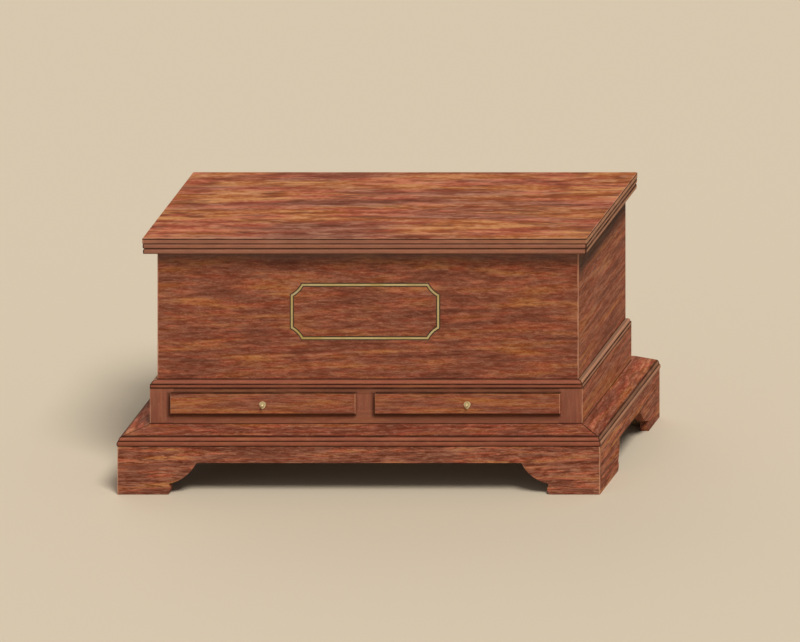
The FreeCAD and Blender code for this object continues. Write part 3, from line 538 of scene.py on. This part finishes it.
def poplar(name, along, sawn=0.0, reach=0.006):
    """Bare secondary wood, darkened by age. Sawn is how deep the saw's strokes are that were left across
    it, and reach is how far its edges are worn."""
    material, tree, shader = new_finish(f"poplar_{name}")
    place, figure = grained(tree, name, along)
    colour = graded(tree, figure["Streak"], POPLAR_SHADE, POPLAR, POPLAR_PALE)
    colour = laid(tree, colour, figure["Dark"], GREEN_COVER, POPLAR_GREEN)
    colour = tinted(tree, spread(tree, figure["Hue"], *GRIME_SPREAD), colour, tone(*POPLAR_GRIME))
    edges = edged(tree, place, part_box(name), reach, reach)
    worn = calc(tree, "MAXIMUM", edges["Upright"], edges["Level"])
    colour = laid(tree, colour, worn, RUBBED_COVER, POPLAR_PALE)
    colour = laid(tree, colour, figure["Pore"], GRIMY_PORE, POPLAR_GRIME)
    tree.links.new(colour, shader.inputs["Base Color"])
    dull = calc(tree, "MULTIPLY_ADD", figure["Streak"], STREAK_DULL, POPLAR_DULL)
    tree.links.new(dull, shader.inputs["Roughness"])
    slant = calc(tree, "MULTIPLY_ADD", edges["Rub"], SAW_WANDER, split(tree, place)[along])
    stroke = calc(tree, "SINE", calc(tree, "MULTIPLY", slant, math.tau / SAW_PITCH))
    bumped(tree, shader, calc(tree, "MULTIPLY_ADD", stroke, sawn, figure["Height"]), *POPLAR_BUMP)
    shader.inputs["Specular IOR Level"].default_value = POPLAR_SHINE
    finished(name, material)


poplar("base_back_board", "X", sawn=0.3)
eased("base_back_board", BASE_EASE)
poplar("foot_glue_blocks", "Z", sawn=0.25)
eased("foot_glue_blocks", BLOCK_EASE)

# Moulded ledge
# A mitred walnut frame lies on the base boards, with a nosing, a quirk and an ovolo planed round its
# edge and a top that slopes up to the drawer stage. Its back member is a plain poplar board.
NOSING_HEIGHT = 0.012
LEDGE_QUIRK = 0.002
OVOLO_HEIGHT = 0.010
OVOLO_LINE = {"X": 0.0010, "Y": 0.0015}
SIDE_SEAM = {"X": 0.0020, "Y": 0.0019}
LEDGE_LIFT = {"X": -0.10, "Y": 0.02}
FRONT_BAND = {"X": (146, 86, 65), "Y": None}
MOULDING_EASE = 0.0008
low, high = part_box("base_ledge_front")
base_corner = (high.x, low.y, 0.0)
for side, along in SIDES:
    name = f"base_ledge_{side}"
    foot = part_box(name)[0].z
    quirk = foot + NOSING_HEIGHT + LEDGE_QUIRK / 2
    ovolo_line = foot + NOSING_HEIGHT + LEDGE_QUIRK + OVOLO_HEIGHT - OVOLO_LINE[along]
    planed = ovolo_line if along == "X" else quirk
    # On the ends the nosing takes the paler band tone, which is painted light, and the ovolo band is
    # darkened by dust and painted shade.
    dust_and_shade = None if along == "X" else (quirk, ovolo_line)
    walnut(name, along, lift=LEDGE_LIFT[along], coarse=(0.9, 1.7), levels=(foot, quirk, ovolo_line),
           corner=base_corner, seam=SIDE_SEAM[along], band=(foot, planed), band_colour=FRONT_BAND[along],
           dust_and_shade=dust_and_shade)
    eased(name, MOULDING_EASE)
poplar("base_ledge_back", "X", sawn=0.3)
eased("base_ledge_back", BASE_EASE)

# Drawer stage
# Walnut rails are tenoned into three stiles to frame the two drawer openings, and thick walnut
# facings widen the end boards below the waist. All of it is glued to the chest behind.
FRAME_EASE = 0.0009
FOOT_SEAM = 0.0046
RAIL_SEAM = 0.0034
# On the top rail the wide seam and the darker band colour are painted shade under the waist moulding; the
# stiles' wider seam darkens their top as painted shade as well.
TOP_RAIL_SHADE_SEAM = 0.0062
TOP_RAIL_SHADE = (132, 84, 63)
stage_lines = (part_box("base_ledge_front")[1].z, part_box("waist_moulding_front")[0].z)
stage_box = (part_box("lower_facing_left")[0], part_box("lower_facing_right")[1])
stage_frame = [(f"stile_{place}", "Z", FOOT_SEAM, None) for place in ("left", "centre", "right")]
stage_frame += [("rail_top", "X", TOP_RAIL_SHADE_SEAM, TOP_RAIL_SHADE), ("rail_bottom", "X", RAIL_SEAM, None)]
# Round the drawer lips the frame is darkened with a painted shadow, shifted to the left and below.
for name, along, seam, band_colour in stage_frame:
    walnut(name, along, levels=stage_lines, seam=seam, lips=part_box("drawer_right_front"), span=stage_box,
           band=stage_lines, band_colour=band_colour, upright=0.003)
    eased(name, FRAME_EASE)
for name in ("lower_facing_left", "lower_facing_right"):
    walnut(name, "Y", lift=0.24, figure=0.8, levels=stage_lines, seam=FOOT_SEAM, span=stage_box,
           upright=0.003)
    eased(name, FRAME_EASE)

# Drawer runners and guides
# Poplar strips from the rails to the back board carry the drawers and keep them straight. Years of
# sliding have polished their upper edges.
for post in ("left", "centre", "right"):
    for strip in ("runner", "guide"):
        poplar(f"drawer_{strip}_{post}", "Y", sawn=0.1, reach=0.010)
        eased(f"drawer_{strip}_{post}", FRAME_EASE)

# Chest
# Wide walnut boards make the front and the ends, waxed outside and bare inside. The back and the
# floor are poplar, let into the ends.
front_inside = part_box("chest_front")[1].y
waist_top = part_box("waist_moulding_front")[1].z
lid_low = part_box("lid_moulding_front")[0].z
# Below the lid the front and the ends are darkened with painted shade.
walnut("chest_front", "X", glow=-0.02, lift=0.09, figure=0.8, coarse=(0.85, 1.1), levels=(waist_top,),
       seam=FOOT_SEAM, lee=lid_low, raw=("Y", front_inside, 1), upright=0.004)
for name, way in (("chest_end_left", 1), ("chest_end_right", -1)):
    low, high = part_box(name)
    inner_face = high.x if way > 0 else low.x
    walnut(name, "Y", glow=-0.02, lift=0.16, figure=0.8, levels=(waist_top,), seam=FOOT_SEAM, lee=lid_low,
           raw=("X", inner_face, way))
poplar("chest_back", "X", sawn=0.35)
poplar("chest_floor", "X", sawn=0.1)
for name in ("chest_front", "chest_end_left", "chest_end_right", "chest_back", "chest_floor"):
    eased(name, FRAME_EASE)

# Inlaid panel line
# A pale holly line between two strips of dyed dark wood frames an empty panel with hollow corners.
# It is let flush into the front board and has yellowed unevenly under the wax.
HOLLY = (196, 174, 118)
HOLLY_YELLOW = (176, 150, 84)
HOLLY_GREY = (182, 168, 132)
DYED_WOOD = (50, 30, 14)
DYED_PALE = (78, 50, 22)
# Scale and detail of the noise in the strips, its span, the third colour's spread and the open pores
STRIP_NOISE = (14.0, 3.0)
STRIP_SPAN = (0.38, 0.62)
STRIP_CHANGE = (0.5, 0.7, 0.0, 0.7)
STRIP_PORE = 0.25
STRIP_DULL = 0.5
STRIP_STREAK = -0.15
STRIP_BUMP = (0.25, 0.0004)


def strip_wood(name, first, second, third):
    """A narrow strip of close-grained wood that has changed colour along its length."""
    material, tree, shader = new_finish(f"strip_{name}")
    place, figure = grained(tree, name, "X")
    patchy = spread(tree, speckled(tree, place, *STRIP_NOISE), *STRIP_SPAN)
    colour = tinted(tree, patchy, tone(*first), tone(*second))
    colour = tinted(tree, spread(tree, figure["Hue"], *STRIP_CHANGE), colour, tone(*third))
    colour = laid(tree, colour, figure["Pore"], STRIP_PORE, OLD_WAX_AND_SHADE)
    tree.links.new(colour, shader.inputs["Base Color"])
    dull = calc(tree, "MULTIPLY_ADD", figure["Streak"], STRIP_STREAK, STRIP_DULL)
    tree.links.new(dull, shader.inputs["Roughness"])
    bumped(tree, shader, figure["Height"], *STRIP_BUMP)
    finished(name, material)


strip_wood("inlay_line", HOLLY, HOLLY_YELLOW, HOLLY_GREY)
strip_wood("inlay_edging", DYED_WOOD, DYED_PALE, DYED_WOOD)

# Waist moulding
# Three mitred walnut strips lie on the drawer stage against the chest, with a flat, a quirk and a
# small ovolo. They are glued and hide the joint.
WAIST_BEAD = 0.0085
FLAT = 0.0005
low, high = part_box("waist_moulding_front")
waist_corner = (high.x, low.y, 0.0)
for side, along in SIDES:
    name = f"waist_moulding_{side}"
    low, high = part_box(name)
    # On the ends the band takes the paler tone, which is painted light, and its flat top is darkened by
    # dust and painted shade.
    dust_and_shade = None if along == "X" else (high.z - FLAT, high.z + FLAT)
    walnut(name, along, figure=0.9, levels=(low.z, low.z + WAIST_BEAD), corner=waist_corner,
           seam=SIDE_SEAM[along], band=(low.z, high.z), band_colour=FRONT_BAND[along], dust_and_shade=dust_and_shade)
    eased(name, MOULDING_EASE)

# Lid hinges
# Wrought iron straps are let into the lid's underside, and leaves nailed to the back board carry the
# pins. They are forged by hand, so the faces are dimpled and the edges soft.
IRON = (62, 58, 55)
IRON_DARK = (34, 31, 30)
RUST = (104, 62, 38)
HAMMER_SCALE = 95.0
# Size and detail of the patches of scale and of rust, and where each begins and is full
SCALE_NOISE = (60.0, 6.0)
SCALE_SPAN = (0.35, 0.65)
SCALE_RISE = 0.3
RUST_NOISE = (24.0, 8.0)
RUST_SPAN = (0.52, 0.70)
# What clean iron has, and what rust adds to it
IRON_METAL = (0.9, -0.75)
IRON_DULL = (0.5, 0.3)
IRON_BUMP = (0.5, 0.0008)
IRON_EASE = 0.0007


def wrought_iron():
    """Forged iron, dark with old scale and rusted in patches."""
    material, tree, shader = new_finish("wrought_iron")
    place = add(tree, "ShaderNodeTexCoord").outputs["Object"]
    hammering = {"Vector": place, "Scale": HAMMER_SCALE}
    dimples = add(tree, "ShaderNodeTexVoronoi", hammering, feature="SMOOTH_F1").outputs["Distance"]
    scale = speckled(tree, place, *SCALE_NOISE)
    rusted = spread(tree, speckled(tree, place, *RUST_NOISE), *RUST_SPAN)
    colour = tinted(tree, spread(tree, scale, *SCALE_SPAN), tone(*IRON_DARK), tone(*IRON))
    tree.links.new(tinted(tree, rusted, colour, tone(*RUST)), shader.inputs["Base Color"])
    for label, (clean, change) in (("Metallic", IRON_METAL), ("Roughness", IRON_DULL)):
        tree.links.new(calc(tree, "MULTIPLY_ADD", rusted, change, clean), shader.inputs[label])
    bumped(tree, shader, calc(tree, "MULTIPLY_ADD", scale, SCALE_RISE, dimples), *IRON_BUMP)
    return material


forged = wrought_iron()
hinge_plates = [f"hinge_{part}_{hand}" for part in ("leaf", "strap") for hand in ("left", "right")]
for name in (*hinge_plates, "hinge_pins"):
    finished(name, forged)
    eased(name, IRON_EASE)

# Hinge nails
# Hand-made nails with low faceted heads hold the straps and the leaves. No two heads are alike:
# each was struck a few times on the anvil.
HEAD_FACETS = 7
HEAD_STEPS = 2
HEAD_CROWN = 0.45
HEAD_RISE = 0.36
HEAD_SINK = 0.0004
HEAD_SMALLEST = (0.86, 0.86, 0.8)
HEAD_LARGEST = (1.04, 1.04, 1.0)
SAME_POINT = 0.00001


def solids_of(name):
    """The box of each separate solid in a node, always in the same order."""
    shape = bmesh.new()
    shape.from_mesh(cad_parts[name].data)
    bmesh.ops.remove_doubles(shape, verts=shape.verts, dist=SAME_POINT)
    waiting = dict.fromkeys(shape.verts)
    boxes = []
    while waiting:
        found = [waiting.popitem()[0]]
        for point in found:
            for beside in [edge.other_vert(point) for edge in point.link_edges]:
                if beside in waiting:
                    del waiting[beside]
                    found.append(beside)
        corners = [[point.co[axis] for point in found] for axis in range(3)]
        boxes.append((Vector(map(min, corners)), Vector(map(max, corners))))
    shape.free()
    return boxes


def drawn_by_lot(tree, seed, least, most):
    """A vector drawn by lot for each point, between two others."""
    limits = {"Min": least, "Max": most, "Seed": seed}
    return add(tree, "FunctionNodeRandomValue", limits, data_type="FLOAT_VECTOR").outputs[0]


def nail_tree():
    """Faceted heads set on points, each turned and sized a little differently."""
    tree = bpy.data.node_groups.new("struck_nail_heads", "GeometryNodeTree")
    sockets = tree.interface
    sockets.new_socket("Geometry", in_out="OUTPUT", socket_type="NodeSocketGeometry")
    for label, kind in (("Points", "Geometry"), ("Head radius", "Float"), ("Head height", "Float"),
                        ("Facing", "Vector"), ("Seed", "Int"), ("Finish", "Material")):
        sockets.new_socket(label, in_out="INPUT", socket_type=f"NodeSocket{kind}")
    given = add(tree, "NodeGroupInput").outputs
    crown = calc(tree, "MULTIPLY", given["Head radius"], HEAD_CROWN)
    cone = {"Vertices": HEAD_FACETS, "Side Segments": HEAD_STEPS, "Radius Top": crown,
            "Radius Bottom": given["Head radius"], "Depth": given["Head height"]}
    head = add(tree, "GeometryNodeMeshCone", cone).outputs["Mesh"]
    facing = {"Vector": given["Facing"]}
    upright = add(tree, "FunctionNodeAlignRotationToVector", facing, axis="Z").outputs[0]
    spin = drawn_by_lot(tree, given["Seed"], (0.0, 0.0, 0.0), (0.0, 0.0, math.tau))
    own_turn = add(tree, "FunctionNodeEulerToRotation", {0: spin}).outputs[0]
    turns = {0: upright, 1: own_turn}
    turn = add(tree, "FunctionNodeRotateRotation", turns, rotation_space="LOCAL").outputs[0]
    size = drawn_by_lot(tree, given["Seed"], HEAD_SMALLEST, HEAD_LARGEST)
    setting = {"Points": given["Points"], "Instance": head, "Rotation": turn, "Scale": size}
    set_out = add(tree, "GeometryNodeInstanceOnPoints", setting).outputs[0]
    real = add(tree, "GeometryNodeRealizeInstances", {0: set_out}).outputs[0]
    coating = {"Geometry": real, "Material": given["Finish"]}
    done = add(tree, "GeometryNodeSetMaterial", coating).outputs[0]
    add(tree, "NodeGroupOutput", {0: done})
    return tree


def nailed(label, node, body, facing, seed):
    """Nail heads where a node has its nails, driven from the side that they face."""
    axis = max(range(3), key=lambda number: abs(facing[number]))
    places = []
    radius = 0.0
    height = 0.0
    for low, high in solids_of(node):
        place = (low + high) / 2
        place[axis] = high[axis] if facing[axis] > 0 else low[axis]
        radius = max(high[other] - low[other] for other in range(3) if other != axis) / 2
        height = radius * HEAD_RISE
        places.append(place - Vector(facing) * (height + HEAD_SINK))
    mesh = bpy.data.meshes.new(label)
    mesh.from_pydata(places, [], [])
    points = bpy.data.objects.new(f"{label}_points", mesh)
    bpy.context.scene.collection.objects.link(points)
    setter = points.modifiers.new("nails", "NODES")
    setter.node_group = NAILS
    wanted = {"Head radius": radius, "Head height": height, "Facing": facing, "Seed": seed,
              "Finish": forged}
    for item in NAILS.interface.items_tree:
        if item.in_out == "INPUT" and item.name in wanted:
            setter[item.identifier] = wanted[item.name]
    evaluated = points.evaluated_get(bpy.context.evaluated_depsgraph_get())
    heads = bpy.data.objects.new(label, bpy.data.meshes.new_from_object(evaluated))
    bpy.data.objects.remove(points)
    bpy.context.scene.collection.objects.link(heads)
    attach(heads, body)
    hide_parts(node)


NAILS = nail_tree()
nailed("leaf_nail_heads", "hinge_leaf_nails", "case", facing=(0.0, 1.0, 0.0), seed=4)
nailed("strap_nail_heads", "hinge_strap_nails", "lid", facing=(0.0, 0.0, -1.0), seed=9)

# Lid
# One wide walnut board with a rounded edge, the brightest piece of the chest, with moulded strips
# glued under its front and ends. The underside was left bare.
LID_LOWER_BAND = 0.013
LID_QUIRK = 0.0025
LID_EDGE = 0.0030
LID_SEAM = {"X": SEAM, "Y": 0.0040}
LINE_DROP = {"X": 0.0, "Y": 0.0026}
LID_BAND = {"X": (157, 107, 85), "Y": None}
low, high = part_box("lid_board")
lid_top = high.z - LID_EDGE
# The board's ends take the paler end band tone, which is painted light.
walnut("lid_board", "X", glow=0.11, lift=0.04, figure=1.1, coarse=(2.5, 3.6), levels=(low.z, lid_top),
       raw=("Z", low.z, -1), band=(low.z, lid_top), band_colour=LID_BAND["X"], aside=high.x - LID_EDGE,
       level=0.0024)
eased("lid_board", MOULDING_EASE)
low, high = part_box("lid_moulding_front")
lid_corner = (high.x, low.y, 0.0)
for side, along in SIDES:
    name = f"lid_moulding_{side}"
    low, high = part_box(name)
    lid_quirk = low.z + LID_LOWER_BAND + LID_QUIRK / 2
    lid_lines = [line - LINE_DROP[along] for line in (low.z, lid_quirk, high.z)]
    # On the ends the moulding takes the paler band tone, which is painted light.
    walnut(name, along, levels=lid_lines, corner=lid_corner, seam=LID_SEAM[along], band=(low.z, high.z),
           band_colour=LID_BAND[along])
    eased(name, MOULDING_EASE)

# Drawers
# Lipped walnut fronts with a rounded edge, dovetailed to poplar sides. The thin poplar bottom slides
# in grooves and under the back.
DRAWER_EASE = 0.0004
for hand in ("left", "right"):
    drawer = f"drawer_{hand}"
    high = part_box(f"{drawer}_front")[1]
    walnut(f"{drawer}_front", "X", glow=0.05, lift=0.14, figure=0.7, coarse=(0.9, 0.8), levels=(high.z,),
           raw=("Y", high.y, 1), upright=0.003, level=0.0015)
    for part, along in (("side_left", "Y"), ("side_right", "Y"), ("back", "X"), ("bottom", "X")):
        poplar(f"{drawer}_{part}", along, sawn=0.08)
    for part in ("front", "side_left", "side_right", "back", "bottom"):
        eased(f"{drawer}_{part}", DRAWER_EASE)

# Drawer pulls
# A small turned brass knob is riveted through a drop-shaped plate and a washer inside the drawer.
# The brass is thin with handling and has dulled to a pale straw colour.
BRASS = (218, 201, 158)
BRASS_DULL = (190, 169, 122)
BRASS_DARK = (112, 92, 58)
# Scale and detail of the noise in the handling and in the spots, its span and the roughness it gives
HANDLING_NOISE = (160.0, 5.0)
HANDLING_SPAN = (0.36, 0.64)
HANDLING_DULL = (0.3, 0.7, 0.42, 0.6)
SPOT_NOISE = (420.0, 4.0)
SPOT_SPAN = (0.58, 0.74)
BRASS_METAL = 0.4
BRASS_BUMP = (0.2, 0.0002)
PULL_EASE = 0.0003


def old_brass():
    """Handled brass: pale where fingers rub it, dull and brown elsewhere."""
    material, tree, shader = new_finish("old_brass")
    place = add(tree, "ShaderNodeTexCoord").outputs["Object"]
    handling = speckled(tree, place, *HANDLING_NOISE)
    spots = speckled(tree, place, *SPOT_NOISE)
    colour = tinted(tree, spread(tree, handling, *HANDLING_SPAN), tone(*BRASS), tone(*BRASS_DULL))
    colour = tinted(tree, spread(tree, spots, *SPOT_SPAN), colour, tone(*BRASS_DARK))
    tree.links.new(colour, shader.inputs["Base Color"])
    tree.links.new(spread(tree, handling, *HANDLING_DULL), shader.inputs["Roughness"])
    bumped(tree, shader, spots, *BRASS_BUMP)
    shader.inputs["Metallic"].default_value = BRASS_METAL
    return material


brass = old_brass()
for hand in ("left", "right"):
    for part in ("knob", "knob_plate", "knob_washer"):
        finished(f"drawer_{hand}_{part}", brass)
        eased(f"drawer_{hand}_{part}", PULL_EASE)

# Floor and light
# A plain pale floor without an edge in sight, lit by a broad soft lamp above the right of the front,
# a weak one behind on the left, and even light from all round.
FLOOR = (202, 187, 163)
FLOOR_DULL = 0.9
FLOOR_SHINE = 0.1
FLOOR_HALF = 14.0
FLOOR_GAP = 0.0005
BACKDROP = (216, 200, 175)
WHITE = (255, 255, 255)
SKY_LIGHT = 0.36
# Where each lamp stands, its strength and its softness in degrees
LAMPS = {"key": ((0.40, -0.55, 0.95), 2.75, 20.0), "fill": ((-0.6, 0.7, 0.5), 0.5, 50.0)}

floor_mesh = bpy.data.meshes.new("floor")
corners = [(-FLOOR_HALF, -FLOOR_HALF), (FLOOR_HALF, -FLOOR_HALF), (FLOOR_HALF, FLOOR_HALF),
           (-FLOOR_HALF, FLOOR_HALF)]
floor_mesh.from_pydata([(x, y, -FLOOR_GAP) for x, y in corners], [], [(0, 1, 2, 3)])
floor = bpy.data.objects.new("floor", floor_mesh)
bpy.context.scene.collection.objects.link(floor)
floor_paint, _, floor_shader = new_finish("floor_paint")
floor_shader.inputs["Base Color"].default_value = tone(*FLOOR)
floor_shader.inputs["Roughness"].default_value = FLOOR_DULL
floor_shader.inputs["Specular IOR Level"].default_value = FLOOR_SHINE
floor_mesh.materials.append(floor_paint)

world = bpy.data.worlds.new("room")
world.use_nodes = True
bpy.context.scene.world = world
air = world.node_tree
air.nodes.clear()
path = add(air, "ShaderNodeLightPath").outputs
mirrored = calc(air, "MAXIMUM", path["Is Glossy Ray"], path["Is Transmission Ray"])
seen = calc(air, "MAXIMUM", path["Is Camera Ray"], mirrored)
even = add(air, "ShaderNodeBackground", {"Color": tone(*WHITE), "Strength": SKY_LIGHT}).outputs[0]
backdrop = add(air, "ShaderNodeBackground", {"Color": tone(*BACKDROP)}).outputs[0]
chosen = add(air, "ShaderNodeMixShader", {0: seen, 1: even, 2: backdrop}).outputs[0]
add(air, "ShaderNodeOutputWorld", {"Surface": chosen})

for name, (towards, strength, softness) in LAMPS.items():
    lamp = bpy.data.lights.new(name, "SUN")
    lamp.energy = strength
    lamp.angle = math.radians(softness)
    held = bpy.data.objects.new(name, lamp)
    held.rotation_euler = Vector(towards).to_track_quat("Z", "Y").to_euler()
    bpy.context.scene.collection.objects.link(held)

# Camera
# A parallel view square to the front, in which depth runs off to the right and upwards, as in a
# workshop drawing. Lengths along the front are true, and the side and the lid lean with the depth.
PICTURE_WIDTH = 800
PICTURE_HEIGHT = 642
METRES_PER_PIXEL = 0.0027316
FOOT_OF_FRONT = (367.9, 482.5)
DEPTH_RIGHT = 0.30
DEPTH_UP = 0.39
CAMERA_BACK = 5.0
FARTHEST_SEEN = 60.0

across = (PICTURE_WIDTH / 2 - FOOT_OF_FRONT[0]) * METRES_PER_PIXEL
up = (FOOT_OF_FRONT[1] - PICTURE_HEIGHT / 2) * METRES_PER_PIXEL
front_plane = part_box("chest_front")[0].y
middle = Vector((across, front_plane, up))
back = Vector((DEPTH_RIGHT, -1.0, DEPTH_UP))
axes = Matrix((Vector((1.0, 0.0, 0.0)), Vector((0.0, 0.0, 1.0)), back.normalized())).transposed()
lens = bpy.data.cameras.new("camera")
lens.type = "ORTHO"
lens.ortho_scale = PICTURE_WIDTH * METRES_PER_PIXEL
lens.clip_end = FARTHEST_SEEN
camera = bpy.data.objects.new("camera", lens)
stand = bpy.data.objects.new("camera_stand", None)
bpy.context.scene.collection.objects.link(stand)
bpy.context.scene.collection.objects.link(camera)
camera.parent = stand
camera.matrix_parent_inverse = Matrix.Translation(middle + back * CAMERA_BACK) @ axes.to_4x4()
bpy.context.scene.camera = camera
bpy.context.scene.view_settings.view_transform = "Standard"
